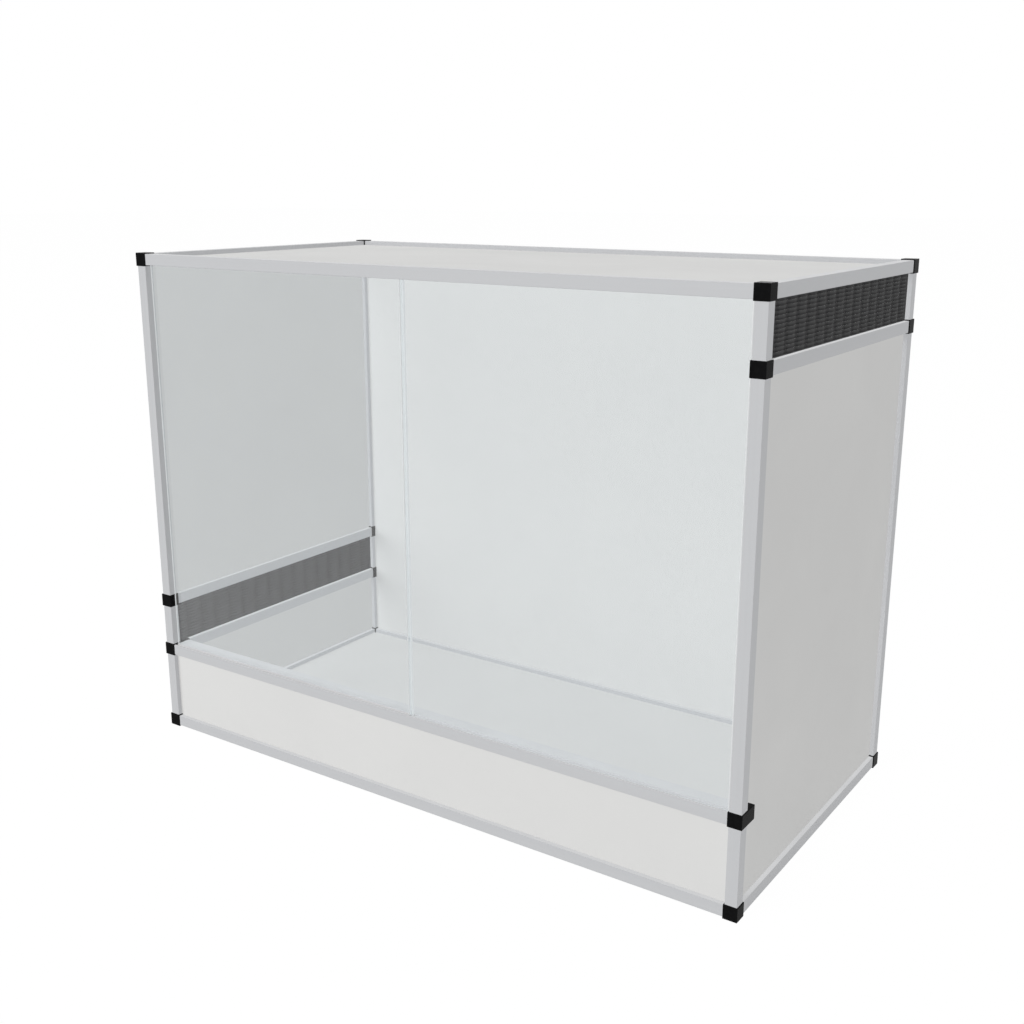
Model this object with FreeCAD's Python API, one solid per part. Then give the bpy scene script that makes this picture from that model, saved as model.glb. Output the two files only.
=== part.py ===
import FreeCAD, Part
import os
from collections import namedtuple

# An aluminium terrarium: square tubes plugged onto cube connectors, with panels held in the tubes' slots.
# X runs along the front, Y from the front to the back, Z up. The origin is on the ground under the middle.
# Every size is in millimetres.

Vector = FreeCAD.Vector
os.makedirs("parts", exist_ok=True)

# Frame, measured between the axes of the tubes
axis_length = 1000.0
axis_depth = 500.0
axis_height = 750.0
sill_rise = 125.0
vent_pitch = 83.2

# Tubes: square section with a lined slot for each panel
tube = 16.6
tube_wall = 1.4
tube_edge = 0.35
sill_depth = 33.3
slot_depth = 3.0
liner_wall = 0.8

# Connectors: a proud cube with a spigot for each tube, which bears on its corner lands
cube = 19.7
cube_edge = 0.4
spigot_length = 22.0
spigot_root = 2.0
spigot_clearance = 0.5
land_width = 2.5
land_clearance = 0.1

# Panels
panel = 3.0
panel_clearance = 0.15
panel_end_clearance = 0.3
notch_clearance = 0.3

# Mesh vents: a thin sheet with rows of gaps, in a rim as thick as a panel
mesh_sheet = 1.0
mesh_wire = 2.5
mesh_rows = 5
mesh_columns = 24

# Door panes and the E-shaped tracks they run in
glass = 4.0
glass_arris = 0.4
glass_clearance = 0.15
track_lip = 0.7
track_base = 0.6
track_clearance = 0.1
track_setback = 1.9
lower_lip = 2.4
upper_lip = 4.9
pane_entry = 1.9
pane_running_gap = 0.2
pane_end_gap = 0.5
pane_overlap = 4.0

# Places that follow from the sizes
inset = (cube - tube) / 2
left = -axis_length / 2
right = axis_length / 2
front = -axis_depth / 2
back = axis_depth / 2
bottom = cube / 2
top = bottom + axis_height
sill = bottom + sill_rise
left_vent = sill + vent_pitch
right_vent = top - vent_pitch
slot_width = panel + 2 * panel_clearance
glass_channel = glass + 2 * glass_clearance
track_width = 3 * track_lip + 2 * glass_channel
pocket_width = track_width + 2 * track_clearance
track_front = front - tube / 2 + track_setback + track_clearance
track_middle = track_front + track_width / 2

Rect = namedtuple("Rect", "u0 v0 u1 v1")
Box = namedtuple("Box", "low high")

# Across a member that runs along the key, u and v are these two directions
ACROSS = {"x": "yz", "y": "xz", "z": "xy"}


def point(axis, station, u, v):
    """The point at a station along an axis, with u and v across it."""
    place = {axis: station, ACROSS[axis][0]: u, ACROSS[axis][1]: v}
    return Vector(place["x"], place["y"], place["z"])


def along(axis, length):
    """A vector of some length along an axis."""
    return point(axis, length, 0.0, 0.0)


def grown(rect, by):
    """A rectangle with every side moved outwards."""
    return Rect(rect.u0 - by, rect.v0 - by, rect.u1 + by, rect.v1 + by)


def grown_box(box, by):
    """A box as a solid, with every side moved outwards."""
    step = Vector(by, by, by)
    size = box.high - box.low + step * 2
    return Part.makeBox(size.x, size.y, size.z, box.low - step)


def corners(axis, station, rect):
    """The four corners of a rectangle, in order round it."""
    return [
        point(axis, station, rect.u0, rect.v0),
        point(axis, station, rect.u1, rect.v0),
        point(axis, station, rect.u1, rect.v1),
        point(axis, station, rect.u0, rect.v1),
    ]


def outline(axis, station, rect):
    """The closed wire round a rectangle."""
    ends = corners(axis, station, rect)
    return Part.makePolygon(ends + ends[:1])


def flat(axis, station, rect):
    """The flat face of a rectangle."""
    return Part.Face(outline(axis, station, rect))


def broken(axis, station, rect, edge):
    """The flat face of a rectangle with its corners broken."""
    ends = corners(axis, station, rect)
    around = []
    for i, corner in enumerate(ends):
        before = (ends[i - 1] - corner).normalize()
        after = (ends[(i + 1) % 4] - corner).normalize()
        around += [corner + before * edge, corner + after * edge]
    return Part.Face(Part.makePolygon(around + around[:1]))


def region(axis, station, parts, cuts):
    """The flat face of some rectangles together, with others taken away."""
    face = flat(axis, station, parts[0])
    if len(parts) > 1:
        face = face.multiFuse([flat(axis, station, part) for part in parts[1:]])
    if cuts:
        face = face.cut([flat(axis, station, cut) for cut in cuts])
    return face.removeSplitter()


def groove(axis, outer, side, centre, width, depth):
    """The rectangle that a groove takes out of one side of a section, open past that side by its depth."""
    half = width / 2
    sign, direction = side
    if direction == ACROSS[axis][0]:
        face = outer.u1 if sign == "+" else outer.u0
        inner = face - depth if sign == "+" else face + depth
        outside = 2 * face - inner
        return Rect(min(inner, outside), centre - half, max(inner, outside), centre + half)
    face = outer.v1 if sign == "+" else outer.v0
    inner = face - depth if sign == "+" else face + depth
    outside = 2 * face - inner
    return Rect(centre - half, min(inner, outside), centre + half, max(inner, outside))


class Section:
    """The cross-section of one tube: its outside, its grooves and its bore."""

    def __init__(self, axis, centre, slots, pocket=None, depth=tube):
        u, v = centre
        self.axis = axis
        self.outer = Rect(u - tube / 2, v - tube / 2, u - tube / 2 + depth, v + tube / 2)
        self.grooves = []
        for side in slots:
            middle = v if side[1] == ACROSS[axis][0] else u
            self.grooves.append(groove(axis, self.outer, side, middle, slot_width, slot_depth))
        if pocket:
            side, pocket_depth = pocket
            self.grooves.append(groove(axis, self.outer, side, track_middle, pocket_width, pocket_depth))
        self.webs = []
        if depth > tube:
            web = u + tube / 2
            self.webs.append(Rect(web, self.outer.v0, web + tube_wall, self.outer.v1))

    def solid_inside(self, clearance):
        """The linings and webs that stand inside the bore, grown by a clearance."""
        linings = [grown(rect, liner_wall + clearance) for rect in self.grooves]
        return linings + [grown(rect, clearance) for rect in self.webs]

    def tube(self, start, end):
        """The length of tube between two stations."""
        bore = region(self.axis, start, [grown(self.outer, -tube_wall)], self.solid_inside(0.0))
        cuts = [flat(self.axis, start, rect) for rect in self.grooves]
        face = broken(self.axis, start, self.outer, tube_edge).cut([bore] + cuts)
        return face.extrude(along(self.axis, end - start))

    def spigot(self, start, end):
        """The plug that fills the bore between two stations, with a land in each corner."""
        land = grown(self.outer, -tube_wall - land_clearance)
        parts = [grown(self.outer, -tube_wall - spigot_clearance)]
        for u in (land.u0, land.u1 - land_width):
            for v in (land.v0, land.v1 - land_width):
                parts.append(Rect(u, v, u + land_width, v + land_width))
        face = region(self.axis, start, parts, self.solid_inside(spigot_clearance))
        return face.extrude(along(self.axis, end - start))


# Connectors: where each stands on its post, by height, and how deep it is
post_heights = {
    "front_left": {"bottom": bottom, "sill": sill, "vent": left_vent, "top": top},
    "back_left": {"bottom": bottom, "sill": sill, "vent": left_vent, "top": top},
    "front_right": {"bottom": bottom, "sill": sill, "vent": right_vent, "top": top},
    "back_right": {"bottom": bottom, "vent": right_vent, "top": top},
}
post_places = {
    "front_left": (left, front),
    "back_left": (left, back),
    "front_right": (right, front),
    "back_right": (right, back),
}
deep_connectors = ("front_left_sill", "front_right_sill")

cores = {}
for post, heights in post_heights.items():
    for level, height in heights.items():
        name = post + "_" + level
        low = Vector(post_places[post][0], post_places[post][1], height) - Vector(cube, cube, cube) / 2
        depth = sill_depth + 2 * inset if name in deep_connectors else cube
        cores[name] = Box(low, low + Vector(cube, depth, cube))

# Tubes: the two connectors each one joins, its section, and the directions of its panel slots
lower_pocket = track_base + lower_lip
upper_pocket = track_base + upper_lip
members = {}


def add_member(name, axis, first, second, centre, slots, pocket=None, depth=tube):
    """Notes a tube that runs between two connectors."""
    members[name] = (first, second, Section(axis, centre, slots, pocket, depth))


post_slots = {
    "front_left": (("+x", "+y"), ("+y",), ("+y",)),
    "back_left": (("-y", "+x"), ("-y", "+x"), ("-y", "+x")),
    "front_right": (("-x", "+y"), ("+y",), ("+y",)),
    "back_right": (("-y", "-x"), ("-y", "-x")),
}
segment_names = {3: ("lower", "middle", "upper"), 2: ("lower", "upper")}
for post, slots in post_slots.items():
    levels = list(post_heights[post])
    for i, segment in enumerate(segment_names[len(slots)]):
        ends = (post + "_" + levels[i], post + "_" + levels[i + 1])
        add_member("post_" + post + "_" + segment, "z", ends[0], ends[1], post_places[post], slots[i])

for level, height, upright in (("bottom", bottom, "+z"), ("top", top, "-z")):
    add_member("rail_" + level + "_back", "x", "back_left_" + level, "back_right_" + level,
               (back, height), ("-y", upright))
    add_member("rail_" + level + "_left", "y", "front_left_" + level, "back_left_" + level,
               (left, height), ("+x", upright))
    add_member("rail_" + level + "_right", "y", "front_right_" + level, "back_right_" + level,
               (right, height), ("-x", upright))
add_member("rail_bottom_front", "x", "front_left_bottom", "front_right_bottom", (front, bottom), ("+y", "+z"))
add_member("rail_top_front", "x", "front_left_top", "front_right_top", (front, top), ("+y",),
           pocket=("-z", upper_pocket))
add_member("rail_door_sill", "x", "front_left_sill", "front_right_sill", (front, sill), ("-z",),
           pocket=("+z", lower_pocket), depth=sill_depth)
add_member("rail_left_vent_lower", "y", "front_left_sill", "back_left_sill", (left, sill), ("-z", "+z"))
add_member("rail_left_vent_upper", "y", "front_left_vent", "back_left_vent", (left, left_vent), ("-z", "+z"))
add_member("rail_right_vent", "y", "front_right_vent", "back_right_vent", (right, right_vent), ("-z", "+z"))


def span(name):
    """The stations of a tube's two ends, on the facing sides of its connectors."""
    first, second, section = members[name]
    return getattr(cores[first].high, section.axis), getattr(cores[second].low, section.axis)


def make_connector(name):
    """A cube with broken edges and a spigot for every tube that meets it."""
    core = grown_box(cores[name], 0.0)
    core = core.makeChamfer(cube_edge, core.Edges)
    spigots = []
    for member, (first, second, section) in members.items():
        start, end = span(member)
        if name == first:
            spigots.append(section.spigot(start - spigot_root, start + spigot_length))
        if name == second:
            spigots.append(section.spigot(end - spigot_length, end + spigot_root))
    return core.multiFuse(spigots).removeSplitter()


# Panels: the axis across each, the plane it lies in, and the tube axes on its four sides
panels = {
    "panel_floor": ("z", bottom, (left, right), (front, back)),
    "panel_top": ("z", top, (left, right), (front, back)),
    "panel_back": ("y", back, (left, right), (bottom, top)),
    "panel_plinth": ("y", front, (left, right), (bottom, sill)),
    "panel_left_lower": ("x", left, (front, back), (bottom, sill)),
    "panel_left_upper": ("x", left, (front, back), (left_vent, top)),
    "panel_right": ("x", right, (front, back), (bottom, right_vent)),
}
vents = {
    "vent_mesh_left": ("x", left, (front, back), (sill, left_vent)),
    "vent_mesh_right": ("x", right, (front, back), (right_vent, top)),
}
slot_reach = slot_depth - panel_end_clearance


def daylight(u_axes, v_axes):
    """The opening between the inner faces of the four tubes round a panel."""
    return grown(Rect(u_axes[0], v_axes[0], u_axes[1], v_axes[1]), -tube / 2)


def slab(axis, plane, rect, thickness):
    """A flat plate about its middle plane."""
    return flat(axis, plane - thickness / 2, rect).extrude(along(axis, thickness))


def notched(shape):
    """A panel cut clear of every connector that it meets."""
    return shape.cut([grown_box(core, notch_clearance) for core in cores.values()]).removeSplitter()


def make_panel(axis, plane, u_axes, v_axes):
    """A plain panel that reaches into the slots on all four sides."""
    return notched(slab(axis, plane, grown(daylight(u_axes, v_axes), slot_reach), panel))


def make_vent(axis, plane, u_axes, v_axes):
    """A mesh sheet with rows of gaps, in a rim that fills the slots."""
    opening = daylight(u_axes, v_axes)
    rim = slab(axis, plane, grown(opening, slot_reach), panel).cut(slab(axis, plane, opening, panel))
    field = grown(opening, -inset - notch_clearance - mesh_wire)
    u_pitch = (field.u1 - field.u0 + mesh_wire) / mesh_columns
    v_pitch = (field.v1 - field.v0 + mesh_wire) / mesh_rows
    station = plane - mesh_sheet / 2
    wires = [outline(axis, station, grown(opening, slot_reach / 2))]
    for row in range(mesh_rows):
        for column in range(mesh_columns):
            u = field.u0 + column * u_pitch
            v = field.v0 + row * v_pitch
            gap = Rect(u, v, u + u_pitch - mesh_wire, v + v_pitch - mesh_wire)
            wires.append(outline(axis, station, gap))
    sheet = Part.makeFace(wires, "Part::FaceMakerBullseye").extrude(along(axis, mesh_sheet))
    return notched(rim.fuse(sheet).removeSplitter())


def make_track(base, lip):
    """An E-shaped liner for both panes, from the height of its base; a negative lip hangs down."""
    sign = 1.0 if lip > 0 else -1.0
    tips = base + sign * track_base + lip
    rect = Rect(track_front, min(base, tips), track_front + track_width, max(base, tips))
    start, end = span("rail_door_sill")
    channels = []
    for i in range(2):
        u = track_front + track_lip + i * (track_lip + glass_channel)
        floor = base + sign * track_base
        past = tips + sign * track_base
        channels.append(Rect(u, min(floor, past), u + glass_channel, max(floor, past)))
    return region("x", start, [rect], channels).extrude(along("x", end - start))


sill_top = sill + tube / 2
top_rail_underside = top - tube / 2
pane_bottom = sill_top - lower_lip + pane_running_gap
pane_top = top_rail_underside + pane_entry


def make_pane(channel, x_start, x_end):
    """A glass pane with broken edges in one of the two channels, counted from the front."""
    y = track_front + track_lip + channel * (track_lip + glass_channel) + glass_clearance
    size = Vector(x_end - x_start, glass, pane_top - pane_bottom)
    pane = Part.makeBox(size.x, size.y, size.z, Vector(x_start, y, pane_bottom))
    return pane.makeChamfer(glass_arris, pane.Edges)


# Every piece by its name
pieces = {}
for name in cores:
    pieces["connector_" + name] = make_connector(name)
for name, (first, second, section) in members.items():
    pieces[name] = section.tube(*span(name))
for name, place in panels.items():
    pieces[name] = make_panel(*place)
for name, place in vents.items():
    pieces[name] = make_vent(*place)
pieces["door_track_lower"] = make_track(sill_top - lower_pocket, lower_lip)
pieces["door_track_upper"] = make_track(top_rail_underside + upper_pocket, -upper_lip)

pane_left_end = cores["front_left_sill"].high.x + pane_end_gap
pane_right_end = cores["front_right_sill"].low.x - pane_end_gap
pieces["door_pane_left"] = make_pane(1, pane_left_end, pane_overlap / 2)
pieces["door_pane_right"] = make_pane(0, -pane_overlap / 2, pane_right_end)

for name, shape in pieces.items():
    shape.exportStep("parts/" + name + ".step")
    print(name, len(shape.Solids), "solid", shape.isValid(), round(shape.Volume, 1))
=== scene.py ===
"""Looks of the aluminium terrarium: finishes on the frame, glass doors, woven vents and the studio around them."""

import logging
import math
from collections.abc import Callable, Iterator
from contextlib import contextmanager
from dataclasses import dataclass
from enum import Enum

import bmesh
import bpy
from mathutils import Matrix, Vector

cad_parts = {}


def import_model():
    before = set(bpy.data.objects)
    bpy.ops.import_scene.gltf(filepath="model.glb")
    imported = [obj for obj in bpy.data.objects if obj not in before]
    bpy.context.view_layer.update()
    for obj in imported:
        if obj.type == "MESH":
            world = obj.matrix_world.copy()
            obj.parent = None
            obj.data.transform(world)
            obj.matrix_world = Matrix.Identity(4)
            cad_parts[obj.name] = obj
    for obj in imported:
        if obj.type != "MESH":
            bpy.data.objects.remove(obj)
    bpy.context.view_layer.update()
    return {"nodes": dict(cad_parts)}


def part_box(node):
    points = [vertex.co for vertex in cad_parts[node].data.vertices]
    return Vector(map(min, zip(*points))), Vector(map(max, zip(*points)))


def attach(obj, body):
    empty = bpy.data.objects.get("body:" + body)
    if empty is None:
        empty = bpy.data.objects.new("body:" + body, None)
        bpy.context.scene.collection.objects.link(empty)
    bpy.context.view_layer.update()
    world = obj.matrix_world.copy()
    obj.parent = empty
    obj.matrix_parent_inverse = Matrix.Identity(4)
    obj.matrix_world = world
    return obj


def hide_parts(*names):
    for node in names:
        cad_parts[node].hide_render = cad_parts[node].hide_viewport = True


Colour = tuple[float, float, float]
Range = tuple[float, float]

LOG = logging.getLogger("terrarium")
MM = 0.001
WHITE: Colour = (1.0, 1.0, 1.0)
ZERO_TO_ONE: Range = (0.0, 1.0)
EITHER_WAY: Range = (-1.0, 1.0)


class Axis(Enum):
    """The direction that a tube, a rod or a strip runs in."""

    X = 0
    Y = 1
    Z = 2

    def step(self, length: float) -> Vector:
        """Makes a vector along this axis.

        Args:
            length: the vector's length.

        Returns:
            The vector.
        """
        vector = Vector((0.0, 0.0, 0.0))
        vector[self.value] = length
        return vector


class Slot(str, Enum):
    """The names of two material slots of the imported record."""

    MESH = "vent_mesh"
    GLASS = "door_glass"


class Body(str, Enum):
    """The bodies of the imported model."""

    FRAME = "frame"
    LEFT_DOOR = "left_door"
    RIGHT_DOOR = "right_door"


class MeshPart(Enum):
    """What is selected in a mesh."""

    EDGES = "EDGE"
    FACES = "FACE"


class MixSocket(Enum):
    """Where a Mix node that mixes colours has its sockets."""

    SHARE = 0
    FIRST = 6
    SECOND = 7
    RESULT = 2


@dataclass(frozen=True)
class NoiseKind:
    """How fine, how rough and how twisted a noise texture is."""

    detail: float
    roughness: float = 0.5
    distortion: float = 0.0


class Graph:
    """A node tree with short calls to add and join its nodes."""

    def __init__(self, tree: bpy.types.NodeTree) -> None:
        """Takes over a tree and clears it.

        Args:
            tree: the material's, world's or group's node tree.
        """
        self.tree = tree
        tree.nodes.clear()

    def add(self, kind: str, options: dict[str, object] | None = None, **values: object) -> bpy.types.Node:
        """Adds a node.

        Args:
            kind: the node's Blender type name.
            options: properties of the node itself.
            values: plain values for its inputs, with spaces in their names written as underscores.

        Returns:
            The new node.
        """
        node = self.tree.nodes.new(kind)
        for name, value in (options or {}).items():
            setattr(node, name, value)
        for name, value in values.items():
            node.inputs[name.replace("_", " ")].default_value = value
        return node

    def join(self, source: object, target: bpy.types.NodeSocket) -> None:
        """Joins an output to an input, or sets the input to a plain value.

        Args:
            source: a socket or a plain value.
            target: the input.
        """
        if isinstance(source, bpy.types.NodeSocket):
            self.tree.links.new(source, target)
        else:
            target.default_value = source

    def place(self, kind: str = "Object") -> bpy.types.NodeSocket:
        """The surface's place in its object, or another output of Texture Coordinate."""
        return self.add("ShaderNodeTexCoord").outputs[kind]

    def split(self, vector: bpy.types.NodeSocket) -> bpy.types.Node:
        """Splits a vector.

        Args:
            vector: the vector.

        Returns:
            A node with the outputs X, Y and Z.
        """
        node = self.add("ShaderNodeSeparateXYZ")
        self.join(vector, node.inputs["Vector"])
        return node

    def math(self, operation: str, first: object, second: object = 0.0) -> bpy.types.NodeSocket:
        """Adds a maths node.

        Args:
            operation: the node's operation.
            first: a socket or a plain number.
            second: a socket or a plain number, where the operation takes two.

        Returns:
            The node's result.
        """
        node = self.add("ShaderNodeMath", {"operation": operation})
        for value, socket in zip((first, second), node.inputs):
            self.join(value, socket)
        return node.outputs[0]

    def remap(
        self, value: bpy.types.NodeSocket, given: Range = ZERO_TO_ONE, wanted: Range = ZERO_TO_ONE
    ) -> bpy.types.NodeSocket:
        """Maps a value from one range onto another, and holds it there.

        Args:
            value: the value to map.
            given: the range that it comes in.
            wanted: the range of the result.

        Returns:
            The mapped value.
        """
        node = self.add("ShaderNodeMapRange", From_Min=given[0], From_Max=given[1], To_Min=wanted[0], To_Max=wanted[1])
        self.join(value, node.inputs["Value"])
        return node.outputs[0]

    def noise(self, place: bpy.types.NodeSocket, scale: object, kind: NoiseKind) -> bpy.types.NodeSocket:
        """Adds a noise texture.

        Args:
            place: the coordinates that it follows.
            scale: how many grains there are in a unit of them, as a socket or a plain number.
            kind: its fineness, roughness and twist.

        Returns:
            The noise from 0 to 1.
        """
        node = self.add("ShaderNodeTexNoise", Detail=kind.detail, Roughness=kind.roughness, Distortion=kind.distortion)
        self.join(place, node.inputs["Vector"])
        self.join(scale, node.inputs["Scale"])
        return node.outputs["Fac"]

    def blend(self, share: bpy.types.NodeSocket, first: object, second: Colour) -> bpy.types.NodeSocket:
        """Mixes two colours.

        Args:
            share: how much of the second colour shows.
            first: the first colour, as a socket or as plain numbers.
            second: the second colour.

        Returns:
            The mixed colour.
        """
        node = self.add("ShaderNodeMix", {"data_type": "RGBA"})
        start = first if isinstance(first, bpy.types.NodeSocket) else (*first, 1.0)
        for socket, value in ((MixSocket.SHARE, share), (MixSocket.FIRST, start), (MixSocket.SECOND, (*second, 1.0))):
            self.join(value, node.inputs[socket.value])
        return node.outputs[MixSocket.RESULT.value]


class EffectGroups:
    """The surface effects that several finishes share, each built once as a shader node group."""

    BEVEL_SAMPLES = 6
    EDGE_TURN: Range = (0.99, 0.8)
    RUB_NOISE = NoiseKind(3.0, 0.6)
    RUB_LIMITS: Range = (0.35, 0.7)
    LINE_SCALE = 1.0
    LINE_NOISE = NoiseKind(2.0, 0.55)
    BAND_SCALE = 0.12
    BAND_NOISE = NoiseKind(3.0, 0.55)
    CLOUD_NOISE = NoiseKind(5.0, 0.55, 0.4)
    CLOUD_LIMITS: Range = (0.3, 0.7)
    PEBBLE_NOISE = NoiseKind(2.0)
    PEBBLE_SHARE = 0.6
    # Painted top light: up-facing faces are painted paler, in soft patches, as if lit from above.
    UPWARD_LIMITS: Range = (0.7, 0.95)
    TOP_LIGHT_NOISE = NoiseKind(4.0, 0.6)
    TOP_LIGHT_LIMITS: Range = (0.2, 0.6)
    TOP_LIGHT_COVER: Range = (0.6, 1.0)

    def __init__(self) -> None:
        """Builds every group."""
        self.edge_wear = self._edge_wear()
        self.drawn_lines = self._drawn_lines()
        self.mottle = self._mottle()
        self.pebble = self._pebble()
        self.crown = self._crown()
        self.dust = self._painted_top_light()

    @staticmethod
    def _start(
        name: str, inputs: dict[str, str], outputs: dict[str, str]
    ) -> tuple[Graph, bpy.types.Node, bpy.types.Node]:
        """Makes an empty group.

        Args:
            name: the group's name.
            inputs: the kind of each input socket, by name.
            outputs: the kind of each output socket, by name.

        Returns:
            The group's graph, its input node and its output node.
        """
        tree = bpy.data.node_groups.new(name, "ShaderNodeTree")
        for in_out, sockets in (("INPUT", inputs), ("OUTPUT", outputs)):
            for label, kind in sockets.items():
                tree.interface.new_socket(label, in_out=in_out, socket_type="NodeSocket" + kind)
        graph = Graph(tree)
        return graph, graph.add("NodeGroupInput"), graph.add("NodeGroupOutput")

    def _edge_wear(self) -> bpy.types.NodeTree:
        """Rounds the edges' shading, and masks where handling has rubbed them.

        Returns:
            The group.
        """
        graph, given, made = self._start(
            "edge_wear", {"Radius": "Float", "Patches": "Float"}, {"Worn": "Float", "Normal": "Vector"}
        )
        rounded = graph.add("ShaderNodeBevel", {"samples": self.BEVEL_SAMPLES})
        graph.join(given.outputs["Radius"], rounded.inputs["Radius"])
        surface = graph.add("ShaderNodeNewGeometry")
        turn = graph.add("ShaderNodeVectorMath", {"operation": "DOT_PRODUCT"})
        for normal, socket in zip((rounded.outputs["Normal"], surface.outputs["True Normal"]), turn.inputs):
            graph.join(normal, socket)
        near_edge = graph.remap(turn.outputs["Value"], self.EDGE_TURN)
        wear_and_painted_light = graph.remap(graph.noise(graph.place(), given.outputs["Patches"], self.RUB_NOISE), self.RUB_LIMITS)
        graph.join(graph.math("MULTIPLY", near_edge, wear_and_painted_light), made.inputs["Worn"])
        graph.join(rounded.outputs["Normal"], made.inputs["Normal"])
        return graph.tree

    def _drawn_lines(self) -> bpy.types.NodeTree:
        """Draws the fine lines that a die leaves, from coordinates that are stretched along them.

        Returns:
            The group.
        """
        graph, given, made = self._start("drawn_lines", {"Vector": "Vector"}, {"Lines": "Float", "Bands": "Float"})
        for label, scale, kind in (
            ("Lines", self.LINE_SCALE, self.LINE_NOISE), ("Bands", self.BAND_SCALE, self.BAND_NOISE)
        ):
            graph.join(graph.noise(given.outputs["Vector"], scale, kind), made.inputs[label])
        return graph.tree

    def _mottle(self) -> bpy.types.NodeTree:
        """Lays soft clouds of tone over a surface.

        Returns:
            The group.
        """
        graph, given, made = self._start("mottle", {"Scale": "Float"}, {"Tone": "Float"})
        clouds = graph.noise(graph.place(), given.outputs["Scale"], self.CLOUD_NOISE)
        graph.join(graph.remap(clouds, self.CLOUD_LIMITS), made.inputs["Tone"])
        return graph.tree

    def _pebble(self) -> bpy.types.NodeTree:
        """Raises the small rounded grains of a moulded, ground or coated skin.

        Returns:
            The group.
        """
        graph, given, made = self._start("pebble", {"Scale": "Float"}, {"Height": "Float"})
        place = graph.place()
        cells = graph.add("ShaderNodeTexVoronoi", {"feature": "SMOOTH_F1"}, Smoothness=1.0)
        graph.join(place, cells.inputs["Vector"])
        graph.join(given.outputs["Scale"], cells.inputs["Scale"])
        grains = graph.math("MULTIPLY", cells.outputs["Distance"], self.PEBBLE_SHARE)
        noise = graph.noise(place, given.outputs["Scale"], self.PEBBLE_NOISE)
        graph.join(graph.math("ADD", grains, noise), made.inputs["Height"])
        return graph.tree

    def _crown(self) -> bpy.types.NodeTree:
        """Tells how far a woven surface stands out to the side it faces, and how far it looks up, each from 0 to 1,
        for painting light and shade on the weave.

        Returns:
            The group.
        """
        graph, given, made = self._start(
            "crown", {"Plane": "Float", "Swing": "Float", "Tilt": "Float"}, {"Height": "Float", "Upward": "Float"}
        )
        spot, facing = graph.split(graph.place()), graph.split(graph.place("Normal"))
        outward = graph.math("SUBTRACT", graph.math("ABSOLUTE", spot.outputs["X"]), given.outputs["Plane"])
        side = graph.math("SIGN", graph.math("MULTIPLY", facing.outputs["X"], spot.outputs["X"]))
        rise = graph.math("DIVIDE", graph.math("MULTIPLY", outward, side), given.outputs["Swing"])
        lean = graph.math("DIVIDE", facing.outputs["Z"], given.outputs["Tilt"])
        for label, value in (("Height", rise), ("Upward", lean)):
            graph.join(graph.remap(value, EITHER_WAY), made.inputs[label])
        return graph.tree

    def _painted_top_light(self) -> bpy.types.NodeTree:
        """Masks faces that look up, in soft patches, where a surface is painted paler as if lit from above.

        Returns:
            The group.
        """
        graph, given, made = self._start("dust", {"Scale": "Float"}, {"Dust": "Float"})
        upward = graph.remap(graph.split(graph.place("Normal")).outputs["Z"], self.UPWARD_LIMITS)
        patches = graph.noise(graph.place(), given.outputs["Scale"], self.TOP_LIGHT_NOISE)
        cover = graph.remap(patches, self.TOP_LIGHT_LIMITS, self.TOP_LIGHT_COVER)
        graph.join(graph.math("MULTIPLY", upward, cover), made.inputs["Dust"])
        return graph.tree


class Dresser:
    """One material under construction: its graph, its Principled shader and the shared effects."""

    def __init__(self, name: str, effects: EffectGroups) -> None:
        """Starts a material.

        Args:
            name: the material's name.
            effects: the shared groups.
        """
        self.material = bpy.data.materials.new(name)
        self.material.use_nodes = True
        self.graph = Graph(self.material.node_tree)
        self.effects = effects
        self.shader = self.graph.add("ShaderNodeBsdfPrincipled")
        output = self.graph.add("ShaderNodeOutputMaterial")
        self.graph.join(self.shader.outputs["BSDF"], output.inputs["Surface"])

    def group(self, tree: bpy.types.NodeTree, **values: object) -> bpy.types.Node:
        """Places a shared effect in this material.

        Args:
            tree: the effect's group.
            values: this material's values for it.

        Returns:
            The group node.
        """
        node = self.graph.add("ShaderNodeGroup", {"node_tree": tree})
        for name, value in values.items():
            node.inputs[name].default_value = value
        return node

    def plain(self, **values: object) -> None:
        """Sets values that are the same all over on the shader's own sockets."""
        for name, value in values.items():
            self.shader.inputs[name.replace("_", " ")].default_value = value

    def feed(self, name: str, source: bpy.types.NodeSocket) -> None:
        """Feeds one of the shader's sockets."""
        self.graph.join(source, self.shader.inputs[name])

    def clouded(self, scale: float, first: Colour, second: Colour, roughness: Range) -> bpy.types.NodeSocket:
        """Clouds the surface between two colours and two roughnesses.

        Args:
            scale: how many clouds there are in a metre.
            first: one colour.
            second: the other colour.
            roughness: the roughness of each.

        Returns:
            The clouded colour.
        """
        tone = self.group(self.effects.mottle, Scale=scale).outputs["Tone"]
        self.feed("Roughness", self.graph.remap(tone, wanted=roughness))
        return self.graph.blend(tone, first, second)

    def streaks(self, run: Axis, across: float, along: float) -> bpy.types.Node:
        """Places the drawn lines, stretched along a run.

        Args:
            run: the direction that the lines follow.
            across: how many there are in a metre across the run.
            along: how many there are in a metre along it.

        Returns:
            The group node.
        """
        stretch = Vector((across,) * 3)
        stretch[run.value] = along
        stretched = self.graph.add("ShaderNodeMapping", Scale=stretch)
        self.graph.join(self.graph.place(), stretched.inputs["Vector"])
        lines = self.group(self.effects.drawn_lines)
        self.graph.join(stretched.outputs["Vector"], lines.inputs["Vector"])
        return lines

    def relief(
        self, height: bpy.types.NodeSocket, depth: float, normal: bpy.types.NodeSocket | None = None
    ) -> None:
        """Gives the surface a fine relief.

        Args:
            height: the relief's height from 0 to 1.
            depth: what a height of 1 stands for, in metres.
            normal: the normal that the relief starts from, where an effect gives one.
        """
        bump = self.graph.add("ShaderNodeBump", Strength=1.0, Distance=depth)
        self.graph.join(height, bump.inputs["Height"])
        if normal is not None:
            self.graph.join(normal, bump.inputs["Normal"])
        self.feed("Normal", bump.outputs["Normal"])


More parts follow.
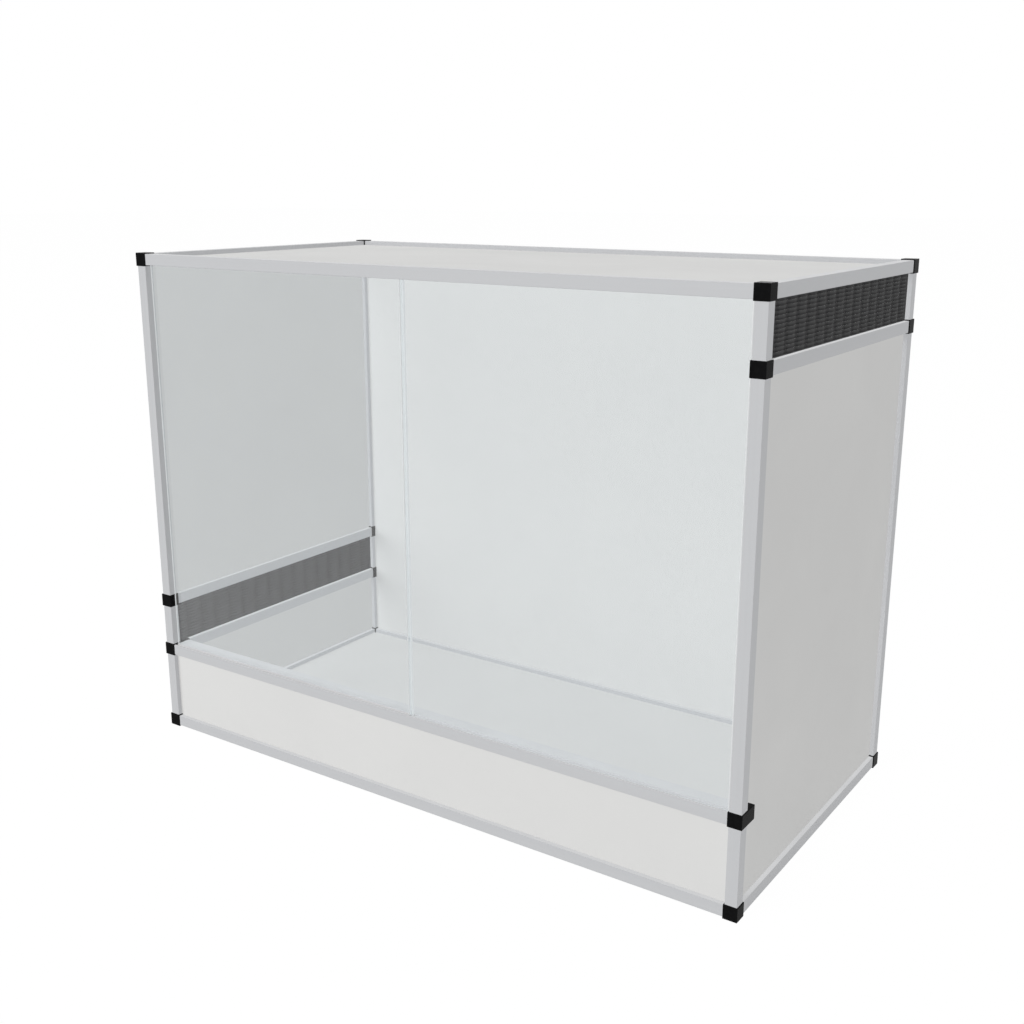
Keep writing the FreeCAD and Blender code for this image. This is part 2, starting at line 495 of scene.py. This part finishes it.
@dataclass(frozen=True)
class AnodisedTube:
    """Satin anodised aluminium, with the die's lines along the tube, paler rubbed corners and painted top light:
    up-facing faces painted paler in soft patches.
    """

    colour: Colour = (0.556, 0.563, 0.576)
    band_colour: Colour = (0.526, 0.533, 0.547)
    rubbed_colour: Colour = (0.68, 0.69, 0.70)
    # Painted top light: the paler colour of up-facing faces.
    top_light_colour: Colour = (0.67, 0.675, 0.685)
    metallic: float = 0.12
    specular: float = 0.03
    roughness: Range = (0.34, 0.46)
    lines_across: float = 2600.0
    lines_along: float = 9.0
    line_depth: float = 0.004 * MM
    corner: float = 0.45 * MM
    rub_patches: float = 60.0
    top_light_patches: float = 18.0

    def material(self, run: Axis, effects: EffectGroups) -> bpy.types.Material:
        """Makes the finish for tubes that run one way.

        Args:
            run: the direction that the tubes run in.
            effects: the shared groups.

        Returns:
            The material.
        """
        dresser = Dresser(f"anodised_aluminium_{run.name.lower()}", effects)
        graph = dresser.graph
        dresser.plain(Metallic=self.metallic, Specular_IOR_Level=self.specular)
        lines = dresser.streaks(run, self.lines_across, self.lines_along)
        wear = dresser.group(effects.edge_wear, Radius=self.corner, Patches=self.rub_patches)
        # Up-facing faces are painted paler in soft patches: painted light from above.
        dust = dresser.group(effects.dust, Scale=self.top_light_patches)
        banded = graph.blend(lines.outputs["Bands"], self.colour, self.band_colour)
        top_lit = graph.blend(dust.outputs["Dust"], banded, self.top_light_colour)
        dresser.feed("Base Color", graph.blend(wear.outputs["Worn"], top_lit, self.rubbed_colour))
        dresser.feed("Roughness", graph.remap(lines.outputs["Lines"], wanted=self.roughness))
        dresser.relief(lines.outputs["Lines"], self.line_depth, wear.outputs["Normal"])
        return dresser.material


@dataclass(frozen=True)
class MouldedBlack:
    """Black moulded plastic with a spark-eroded skin and edges rubbed grey."""

    name: str = "moulded_black_plastic"
    colour: Colour = (0.005, 0.005, 0.0052)
    cloud_colour: Colour = (0.0075, 0.0075, 0.0078)
    rubbed_colour: Colour = (0.03, 0.03, 0.031)
    clouds: float = 160.0
    specular: float = 0.012
    roughness: Range = (0.2, 0.32)
    grain: float = 1900.0
    grain_depth: float = 0.02 * MM
    corner: float = 0.55 * MM
    rub_patches: float = 220.0

    def material(self, effects: EffectGroups) -> bpy.types.Material:
        """Makes the finish.

        Args:
            effects: the shared groups.

        Returns:
            The material.
        """
        dresser = Dresser(self.name, effects)
        dresser.plain(Specular_IOR_Level=self.specular)
        skin = dresser.group(effects.pebble, Scale=self.grain)
        wear = dresser.group(effects.edge_wear, Radius=self.corner, Patches=self.rub_patches)
        clouded = dresser.clouded(self.clouds, self.colour, self.cloud_colour, self.roughness)
        dresser.feed("Base Color", dresser.graph.blend(wear.outputs["Worn"], clouded, self.rubbed_colour))
        dresser.relief(skin.outputs["Height"], self.grain_depth, wear.outputs["Normal"])
        return dresser.material


@dataclass(frozen=True)
class WovenStrip:
    """Black coated strip with faint streaks along it, painted paler where it stands out and on its upper half: painted
    light from above and painted shade in the grooves.

    Attributes:
        plane: how far the vents' middle planes lie from the object's.
        swing: how far from that plane the strip has its darkest and its palest tone.
        tilt: how far its face looks up where it is palest.
        upper_share: how much of the tone follows the tilt; the rest follows the swing.
    """

    name: str = "black_woven_strip"
    colour: Colour = (0.0155, 0.0155, 0.016)
    # Painted light: the pale colour of crests and upper halves, standing in for light from above and shade in the
    # grooves.
    painted_light_colour: Colour = (0.091, 0.091, 0.092)
    streak_colour: Colour = (0.03, 0.03, 0.031)
    streak_share: float = 0.5
    specular: float = 0.005
    roughness: Range = (0.4, 0.6)
    plane: float = 500.0 * MM
    swing: float = 0.39 * MM
    tilt: float = 0.12
    upper_share: float = 0.6
    streaks_across: float = 1800.0
    streaks_along: float = 60.0
    streak_depth: float = 0.02 * MM

    def material(self, effects: EffectGroups) -> bpy.types.Material:
        """Makes the finish.

        Args:
            effects: the shared groups.

        Returns:
            The material.
        """
        dresser = Dresser(self.name, effects)
        graph = dresser.graph
        dresser.plain(Specular_IOR_Level=self.specular)
        crown = dresser.group(effects.crown, Plane=self.plane, Swing=self.swing, Tilt=self.tilt)
        lines = dresser.streaks(Axis.Y, self.streaks_across, self.streaks_along)
        # Crests and upper halves are painted paler: painted light from above and painted shade in the grooves between
        # strips.
        proud = graph.math("MULTIPLY", crown.outputs["Height"], 1.0 - self.upper_share)
        upper = graph.math("MULTIPLY", crown.outputs["Upward"], self.upper_share)
        wear_and_painted_light = graph.blend(graph.math("ADD", proud, upper), self.colour, self.painted_light_colour)
        streaked = graph.remap(lines.outputs["Lines"], wanted=(0.0, self.streak_share))
        dresser.feed("Base Color", graph.blend(streaked, wear_and_painted_light, self.streak_colour))
        dresser.feed("Roughness", graph.remap(lines.outputs["Bands"], wanted=self.roughness))
        dresser.relief(lines.outputs["Lines"], self.streak_depth)
        return dresser.material


@dataclass(frozen=True)
class GrainedSkin:
    """A matt skin with a fine grain and faint clouds of tone."""

    name: str
    colour: Colour
    cloud_colour: Colour
    clouds: float
    specular: float
    roughness: Range
    grain: float
    grain_depth: float

    def material(self, effects: EffectGroups) -> bpy.types.Material:
        """Makes the finish.

        Args:
            effects: the shared groups.

        Returns:
            The material.
        """
        dresser = Dresser(self.name, effects)
        dresser.plain(Specular_IOR_Level=self.specular)
        dresser.feed("Base Color", dresser.clouded(self.clouds, self.colour, self.cloud_colour, self.roughness))
        dresser.relief(dresser.group(effects.pebble, Scale=self.grain).outputs["Height"], self.grain_depth)
        return dresser.material


@dataclass(frozen=True)
class PaleSheet(GrainedSkin):
    """Pale matt sheet with a fine orange-peel skin."""

    name: str = "matt_pale_sheet"
    colour: Colour = (0.694, 0.694, 0.686)
    cloud_colour: Colour = (0.679, 0.679, 0.672)
    clouds: float = 7.0
    specular: float = 0.15
    roughness: Range = (0.52, 0.62)
    grain: float = 700.0
    grain_depth: float = 0.0015 * MM


@dataclass(frozen=True)
class TrackPlastic(GrainedSkin):
    """Grey extruded plastic, a little smoother than the sheet."""

    name: str = "grey_track_plastic"
    colour: Colour = (0.63, 0.63, 0.64)
    cloud_colour: Colour = (0.6, 0.6, 0.61)
    clouds: float = 7.0
    specular: float = 0.3
    roughness: Range = (0.35, 0.45)
    grain: float = 1500.0
    grain_depth: float = 0.0015 * MM


@dataclass(frozen=True)
class GroundEdge(GrainedSkin):
    """The ground edge of a pane: matt and pale, with the wheel's marks on it."""

    name: str = "ground_glass_edge"
    colour: Colour = (0.87, 0.885, 0.89)
    cloud_colour: Colour = (0.82, 0.84, 0.845)
    clouds: float = 60.0
    specular: float = 0.4
    roughness: Range = (0.4, 0.6)
    grain: float = 900.0
    grain_depth: float = 0.01 * MM


@dataclass(frozen=True)
class FloatGlass:
    """Clear float glass with a faint cool tint and faint wiping marks, which lets lamps and soft light through."""

    name: str = "float_glass"
    colour: Colour = (0.95, 0.986, 1.0)
    wiped_colour: Colour = (0.946, 0.983, 1.0)
    wiping: float = 5.0
    roughness: Range = (0.0, 0.01)
    refraction: float = 1.62

    def material(self, effects: EffectGroups) -> bpy.types.Material:
        """Makes the finish.

        Args:
            effects: the shared groups.

        Returns:
            The material.
        """
        dresser = Dresser(self.name, effects)
        graph = dresser.graph
        dresser.plain(Transmission_Weight=1.0, IOR=self.refraction, Metallic=0.0)
        dresser.feed("Base Color", dresser.clouded(self.wiping, self.colour, self.wiped_colour, self.roughness))
        path = graph.add("ShaderNodeLightPath")
        passing = graph.math("MAXIMUM", path.outputs["Is Shadow Ray"], path.outputs["Is Diffuse Ray"])
        dresser.feed("Alpha", graph.math("SUBTRACT", 1.0, passing))
        return dresser.material


class Workpiece:
    """A mesh object that is shaped with modelling operators, as by hand."""

    MERGE_DISTANCE = 0.01 * MM

    def __init__(self, name: str, add: Callable[..., object], **settings: object) -> None:
        """Adds a primitive to start from.

        Args:
            name: the piece's name.
            add: the operator that adds the primitive.
            settings: the operator's settings.
        """
        bpy.ops.object.select_all(action="DESELECT")
        add(**settings)
        self._take(name)

    def _take(self, name: str) -> None:
        """Takes over the active object.

        Args:
            name: the piece's name.
        """
        self.thing = bpy.context.active_object
        self.thing.name = name
        self.thing.data.name = name

    def activate(self) -> None:
        """Makes this the only selected and the active object."""
        bpy.ops.object.select_all(action="DESELECT")
        self.thing.select_set(True)
        bpy.context.view_layer.objects.active = self.thing

    @contextmanager
    def editing(self, part: MeshPart) -> Iterator[None]:
        """Opens the mesh in edit mode with nothing selected.

        Args:
            part: what is selected there.
        """
        self.activate()
        bpy.ops.object.mode_set(mode="EDIT")
        bpy.ops.mesh.select_mode(type=part.value)
        bpy.ops.mesh.select_all(action="DESELECT")
        yield
        bpy.ops.object.mode_set(mode="OBJECT")

    def pick(self, part: MeshPart, test: Callable[..., bool]) -> None:
        """Selects the edges or faces that pass a test, and no others.

        Args:
            part: what is selected.
            test: says whether an edge or a face is wanted, by its place or normal.
        """
        bpy.ops.mesh.select_all(action="DESELECT")
        mesh = bmesh.from_edit_mesh(self.thing.data)
        for element in mesh.edges if part is MeshPart.EDGES else mesh.faces:
            if test(element):
                element.select_set(True)
        mesh.select_flush_mode()
        bmesh.update_edit_mesh(self.thing.data)

    def pull(self, step: Vector) -> None:
        """Extrudes what is selected."""
        bpy.ops.mesh.extrude_region_move(TRANSFORM_OT_translate={"value": step})

    def settle(self) -> None:
        """Puts the object at the origin, unturned and unscaled, with its place in its mesh."""
        self.activate()
        bpy.ops.object.transform_apply(location=True, rotation=True, scale=True)

    def repeat(self, count: int, step: Vector) -> None:
        """Repeats the mesh in a row and joins what meets.

        Args:
            count: how many there are in the row.
            step: the way from each to the next.
        """
        self.activate()
        row = self.thing.modifiers.new("row", "ARRAY")
        row.count = count
        row.use_relative_offset = False
        row.use_constant_offset = True
        row.constant_offset_displace = step
        row.use_merge_vertices = True
        row.merge_threshold = self.MERGE_DISTANCE
        bpy.ops.object.modifier_apply(modifier=row.name)

    def absorb(self, other: "Workpiece") -> None:
        """Joins another piece into this one.

        Args:
            other: the piece that is taken in.
        """
        self.activate()
        other.thing.select_set(True)
        bpy.ops.object.join()

    def smooth(self, angle: float) -> None:
        """Shades smoothly across edges flatter than an angle in degrees."""
        self.activate()
        bpy.ops.object.shade_smooth_by_angle(angle=math.radians(angle))

    def copy(self, name: str, shift: Vector) -> "Workpiece":
        """Copies the piece with a mesh of its own, moved to another place.

        Args:
            name: the copy's name.
            shift: how far the copy lies from this piece.

        Returns:
            The copy.
        """
        self.activate()
        bpy.ops.object.duplicate(linked=False)
        twin = Workpiece.__new__(Workpiece)
        twin._take(name)
        twin.thing.location = shift
        twin.settle()
        return twin

    def install(self, body: Body, slot: Slot, node: str) -> None:
        """Hands the finished piece to the frame.

        Args:
            body: the body that it moves with.
            slot: the record's material slot; not used.
            node: the CAD node that it stands for.
        """
        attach(self.thing, body.value)
        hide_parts(node)
        LOG.info("%s: %d faces, rides on %s", self.thing.name, len(self.thing.data.polygons), body.value)


@dataclass
class WovenVent:
    """A side vent: strips bent in step over and under upright rods, bound by hems that sit in the tubes' slots.

    Attributes:
        play: the room between a strip and the rods.
        tuck: how far strips and rods reach into the hems.
        weave_crease: the angle in degrees from which the weave's edges show as creases.
        hem_crease: the same for the hems.
        end_reach: how near the end of a strip an edge has to lie to belong to it.
    """

    node: str = "vent_mesh_left"
    twin_node: str = "vent_mesh_right"
    rows: int = 13
    rods: int = 31
    strip_height: float = 5.04 * MM
    strip_thickness: float = 1.0 * MM
    strip_sides: int = 12
    bend_steps: int = 4
    rod_width: float = 0.5 * MM
    rod_sides: int = 8
    play: float = 0.03 * MM
    corner_notch: float = 4.6 * MM
    long_hem: float = 3.1 * MM
    upright_hem: float = 4.9 * MM
    hem_roll: float = 0.35 * MM
    roll_steps: int = 2
    tuck: float = 0.4 * MM
    weave_crease: float = 60.0
    hem_crease: float = 50.0
    end_reach: float = 0.05 * MM

    def build(self, finish: bpy.types.Material) -> None:
        """Models one vent and copies it for the other side.

        Args:
            finish: the material of the strips, the rods and the hems.
        """
        low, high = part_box(self.node)
        margin = Vector((0.0, self.upright_hem, self.long_hem))
        start = low + margin
        start.x = (low.x + high.x) / 2
        field = high - low - 2 * margin
        vent = self._rods(start, field)
        vent.absorb(self._strips(start, field))
        for hem in self._hems(low, high):
            vent.absorb(hem)
        vent.thing.data.materials.clear()
        vent.thing.data.materials.append(finish)
        twin = vent.copy("woven_vent_right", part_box(self.twin_node)[0] - low)
        for piece, node in ((vent, self.node), (twin, self.twin_node)):
            let_light_pass(piece.thing, lamps=True)
            piece.install(Body.FRAME, Slot.MESH, node)

    def _hems(self, low: Vector, high: Vector) -> list[Workpiece]:
        """Folds the four hems, with the vent's corners left open for the connectors.

        Args:
            low: the vent's lowest corner.
            high: the vent's highest corner.

        Returns:
            The hems.
        """
        size = high - low
        middle = (low + high) / 2
        hems = []
        for run, side, width in ((Axis.Y, Axis.Z, self.long_hem), (Axis.Z, Axis.Y, self.upright_hem)):
            bar = size.copy()
            bar[run.value] -= 2 * self.corner_notch
            bar[side.value] = width
            across = size[side.value] - width
            hem = self._hem(run, middle - side.step(across / 2), bar)
            hems += [hem, hem.copy("hem", side.step(across))]
        return hems

    def _hem(self, run: Axis, middle: Vector, size: Vector) -> Workpiece:
        """Folds one hem: a bar with its edges rolled over.

        Args:
            run: the way that it runs.
            middle: its middle.
            size: its size.

        Returns:
            The hem.
        """
        hem = Workpiece("hem", bpy.ops.mesh.primitive_cube_add, size=1.0, location=middle)
        hem.thing.scale = size
        hem.settle()
        with hem.editing(MeshPart.EDGES):
            hem.pick(
                MeshPart.EDGES, lambda edge: abs(edge.verts[1].co[run.value] - edge.verts[0].co[run.value]) > MM
            )
            bpy.ops.mesh.bevel(offset=self.hem_roll, segments=self.roll_steps, affect="EDGES")
        hem.smooth(self.hem_crease)
        return hem

    def _rods(self, start: Vector, field: Vector) -> Workpiece:
        """Stands the rods in a row, with their ends tucked in the long hems.

        Args:
            start: the corner of the field of weave.
            field: the field's size.

        Returns:
            The rods.
        """
        pitch = field.y / self.rods
        rods = Workpiece(
            "woven_vent_left", bpy.ops.mesh.primitive_cylinder_add, vertices=self.rod_sides,
            radius=self.rod_width / 2, depth=field.z + 2 * self.tuck,
            location=start + Vector((0.0, pitch / 2, field.z / 2)),
        )
        rods.settle()
        rods.repeat(self.rods, Axis.Y.step(pitch))
        rods.smooth(self.weave_crease)
        return rods

    def _strips(self, start: Vector, field: Vector) -> Workpiece:
        """Lays all the strips edge to edge, each like the one below it.

        Args:
            start: the corner of the field of weave.
            field: the field's size.

        Returns:
            The strips.
        """
        pitch = field.z / self.rows
        strips = self._strip(start + Axis.Z.step(pitch / 2), field.y)
        strips.repeat(self.rows, Axis.Z.step(pitch))
        strips.smooth(self.weave_crease)
        return strips

    def _strip(self, start: Vector, length: float) -> Workpiece:
        """Draws one strip in waves over and under the rods, with its ends tucked in the upright hems.

        Args:
            start: the strip's start.
            length: its length between the hems.

        Returns:
            The strip.
        """
        strip = Workpiece(
            "strip", bpy.ops.mesh.primitive_circle_add, vertices=self.strip_sides, radius=0.5,
            fill_type="NOTHING", location=start, rotation=(math.pi / 2, 0.0, 0.0),
        )
        strip.thing.scale = (self.strip_thickness, self.strip_height, 1.0)
        strip.settle()
        swing = (self.rod_width + self.strip_thickness) / 2 + self.play
        steps = self.rods * self.bend_steps
        bends = [swing * math.sin(math.pi * i / self.bend_steps) for i in range(steps + 1)]
        with strip.editing(MeshPart.EDGES):
            bpy.ops.mesh.select_all(action="SELECT")
            for here, there in zip(bends, bends[1:]):
                strip.pull(Vector((there - here, length / steps, 0.0)))
            for end, way in ((start.y, -1.0), (start.y + length, 1.0)):
                strip.pick(
                    MeshPart.EDGES, lambda edge: all(abs(v.co.y - end) < self.end_reach for v in edge.verts)
                )
                strip.pull(Axis.Y.step(way * self.tuck))
                bpy.ops.mesh.edge_face_add()
            bpy.ops.mesh.select_all(action="SELECT")
            bpy.ops.mesh.normals_make_consistent(inside=False)
        return strip


@dataclass
class GlassDoor:
    """One sliding pane: float glass with ground arrises and edges.

    Attributes:
        flatness: how squarely a face has to look forwards or backwards to stay clear glass.
    """

    name: str
    node: str
    body: Body
    arris: float = 0.5 * MM
    arris_steps: int = 2
    flatness: float = 0.99

    def build(self, glass: bpy.types.Material, edge: bpy.types.Material) -> None:
        """Models the pane in the place of its CAD node.

        Args:
            glass: the material of the two large faces.
            edge: the material of the ground edges.
        """
        low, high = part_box(self.node)
        pane = Workpiece(self.name, bpy.ops.mesh.primitive_cube_add, size=1.0, location=(low + high) / 2)
        pane.thing.scale = high - low
        pane.settle()
        with pane.editing(MeshPart.EDGES):
            bpy.ops.mesh.select_all(action="SELECT")
            bpy.ops.mesh.bevel(offset=self.arris, segments=self.arris_steps, affect="EDGES")
        pane.thing.data.materials.append(glass)
        pane.thing.data.materials.append(edge)
        with pane.editing(MeshPart.FACES):
            pane.pick(MeshPart.FACES, lambda face: abs(face.normal.y) < self.flatness)
            pane.thing.active_material_index = pane.thing.data.materials.find(edge.name)
            bpy.ops.object.material_slot_assign()
        pane.install(self.body, Slot.GLASS, self.node)


@dataclass
class Frame:
    """The CAD nodes that keep their shape: tubes, connectors, panels and tracks."""

    nodes: dict[str, bpy.types.Object]

    def dress(self, effects: EffectGroups) -> None:
        """Gives every node that stays its finish.

        Args:
            effects: the shared groups.
        """
        tubes = {run: AnodisedTube().material(run, effects) for run in Axis}
        finishes = {
            "connector": MouldedBlack().material(effects),
            "panel": PaleSheet().material(effects),
            "door_track": TrackPlastic().material(effects),
        }
        for name, node in self.nodes.items():
            let_light_pass(node, lamps=name.startswith(("panel", "door_track")))
            if name.startswith(("post", "rail")):
                self._paint(node, tubes[self._run(node)])
            for kind, finish in finishes.items():
                if name.startswith(kind):
                    self._paint(node, finish)

    @staticmethod
    def _run(node: bpy.types.Object) -> Axis:
        """The way that a tube runs, which is the way it is longest."""
        size = list(node.dimensions)
        return Axis(size.index(max(size)))

    @staticmethod
    def _paint(node: bpy.types.Object, finish: bpy.types.Material) -> None:
        """Puts one finish on a node.

        Args:
            node: the node.
            finish: its material.
        """
        node.data.materials.clear()
        node.data.materials.append(finish)
        LOG.info("%s: %s", node.name, finish.name)


@dataclass(frozen=True)
class SoftLamp:
    """A round soft lamp that points at the object."""

    name: str
    place: tuple[float, float, float]
    size: float
    power: float

    def hang(self, target: Vector) -> None:
        """Hangs the lamp.

        Args:
            target: what it points at.
        """
        light = bpy.data.lights.new(self.name, "AREA")
        light.shape = "DISK"
        light.size = self.size
        light.energy = self.power
        lamp = bpy.data.objects.new(self.name, light)
        lamp.location = self.place
        lamp.rotation_euler = (Vector(self.place) - target).to_track_quat("Z", "Y").to_euler()
        lamp.visible_camera = False
        lamp.visible_glossy = False
        lamp.visible_transmission = False
        bpy.context.scene.collection.objects.link(lamp)


@dataclass
class Studio:
    """A plain pale floor, soft light and the camera of the photograph.

    Attributes:
        floor_glow: how much of the floor shows as plain white; the rest shows the object's shadow.
        glow_strength: how bright that white is.
        sky: how bright the light from all round is.
        backdrop: how bright the backdrop shows.
    """

    target: tuple[float, float, float] = (0.0, 0.0003, 0.3846)
    azimuth: float = 34.393
    elevation: float = 14.995
    distance: float = 1.8916
    field_of_view: float = 45.0
    sensor_width: float = 36.0
    clip: Range = (0.05, 200.0)
    floor_size: float = 60.0
    floor_colour: Colour = (0.72, 0.72, 0.72)
    floor_glow: float = 0.92
    glow_strength: float = 1.03
    sky: float = 0.82
    backdrop: float = 1.0
    key: SoftLamp = SoftLamp("key", (-5.5, -12.0, 4.8), 9.5, 700.0)

    def build(self) -> None:
        """Builds the camera, the floor, the world and the lamp."""
        self._camera()
        self._floor()
        self._world()
        self.key.hang(Vector(self.target))

    def _camera(self) -> None:
        """Places the camera as the photograph's was."""
        turn, rise = math.radians(self.azimuth), math.radians(self.elevation)
        back = Vector((math.sin(turn) * math.cos(rise), -math.cos(turn) * math.cos(rise), math.sin(rise)))
        lens = bpy.data.cameras.new("camera")
        lens.sensor_width = self.sensor_width
        lens.lens = self.sensor_width / 2 / math.tan(math.radians(self.field_of_view) / 2)
        lens.clip_start, lens.clip_end = self.clip
        camera = bpy.data.objects.new("camera", lens)
        camera.location = Vector(self.target) + back * self.distance
        camera.rotation_euler = back.to_track_quat("Z", "Y").to_euler()
        bpy.context.scene.collection.objects.link(camera)
        bpy.context.scene.camera = camera

    @staticmethod
    def _seen(graph: Graph) -> bpy.types.NodeSocket:
        """Tells what the camera sees, directly, in a reflection or through glass.

        Args:
            graph: the material's or the world's graph.

        Returns:
            A value that is 1 for what it sees.
        """
        path = graph.add("ShaderNodeLightPath")
        mirrored = graph.math("MAXIMUM", path.outputs["Is Camera Ray"], path.outputs["Is Glossy Ray"])
        return graph.math("MAXIMUM", mirrored, path.outputs["Is Transmission Ray"])

    @staticmethod
    def _mix(
        graph: Graph, share: bpy.types.NodeSocket, first: bpy.types.Node, second: bpy.types.Node, output: str
    ) -> None:
        """Mixes two shaders into the output.

        Args:
            graph: the material's or the world's graph.
            share: how much of the second shader there is.
            first: the first shader.
            second: the second shader.
            output: the output node's Blender type name.
        """
        mix = graph.add("ShaderNodeMixShader")
        for source, socket in zip((share, first.outputs[0], second.outputs[0]), mix.inputs):
            graph.join(source, socket)
        graph.join(mix.outputs[0], graph.add(output).inputs["Surface"])

    def _floor(self) -> None:
        """Lays a pale floor that shows white but keeps the object's shadow."""
        floor = Workpiece("floor", bpy.ops.mesh.primitive_plane_add, size=self.floor_size)
        material = bpy.data.materials.new("pale_floor")
        material.use_nodes = True
        graph = Graph(material.node_tree)
        matt = graph.add("ShaderNodeBsdfDiffuse", Color=(*self.floor_colour, 1.0))
        glow = graph.add("ShaderNodeEmission", Color=(*WHITE, 1.0), Strength=self.glow_strength)
        share = graph.math("MULTIPLY", self._seen(graph), self.floor_glow)
        self._mix(graph, share, matt, glow, "ShaderNodeOutputMaterial")
        floor.thing.data.materials.append(material)

    def _world(self) -> None:
        """Lights the object evenly from all round, and shows white behind it."""
        world = bpy.data.worlds.new("studio")
        world.use_nodes = True
        bpy.context.scene.world = world
        graph = Graph(world.node_tree)
        light = graph.add("ShaderNodeBackground", Color=(*WHITE, 1.0), Strength=self.sky)
        white = graph.add("ShaderNodeBackground", Color=(*WHITE, 1.0), Strength=self.backdrop)
        self._mix(graph, self._seen(graph), light, white, "ShaderNodeOutputWorld")


def let_light_pass(thing: bpy.types.Object, lamps: bool) -> None:
    """Lets soft light through an object and keeps it out of reflections, as in the evenly lit photograph.

    Args:
        thing: the object.
        lamps: whether lamps shine through it as well.
    """
    thing.visible_diffuse = False
    thing.visible_glossy = False
    thing.visible_shadow = not lamps


def main() -> None:
    """Loads the frame, dresses it, adds the vents and doors, and builds the studio."""
    logging.basicConfig(level=logging.INFO, format="%(name)s: %(message)s")
    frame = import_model()
    bpy.context.scene.view_settings.view_transform = "Standard"
    effects = EffectGroups()
    Studio().build()
    Frame(frame["nodes"]).dress(effects)
    WovenVent().build(WovenStrip().material(effects))
    glass = FloatGlass().material(effects)
    edge = GroundEdge().material(effects)
    GlassDoor("glass_door_left", "door_pane_left", Body.LEFT_DOOR).build(glass, edge)
    GlassDoor("glass_door_right", "door_pane_right", Body.RIGHT_DOOR).build(glass, edge)


if __name__ == "__main__":
    main()
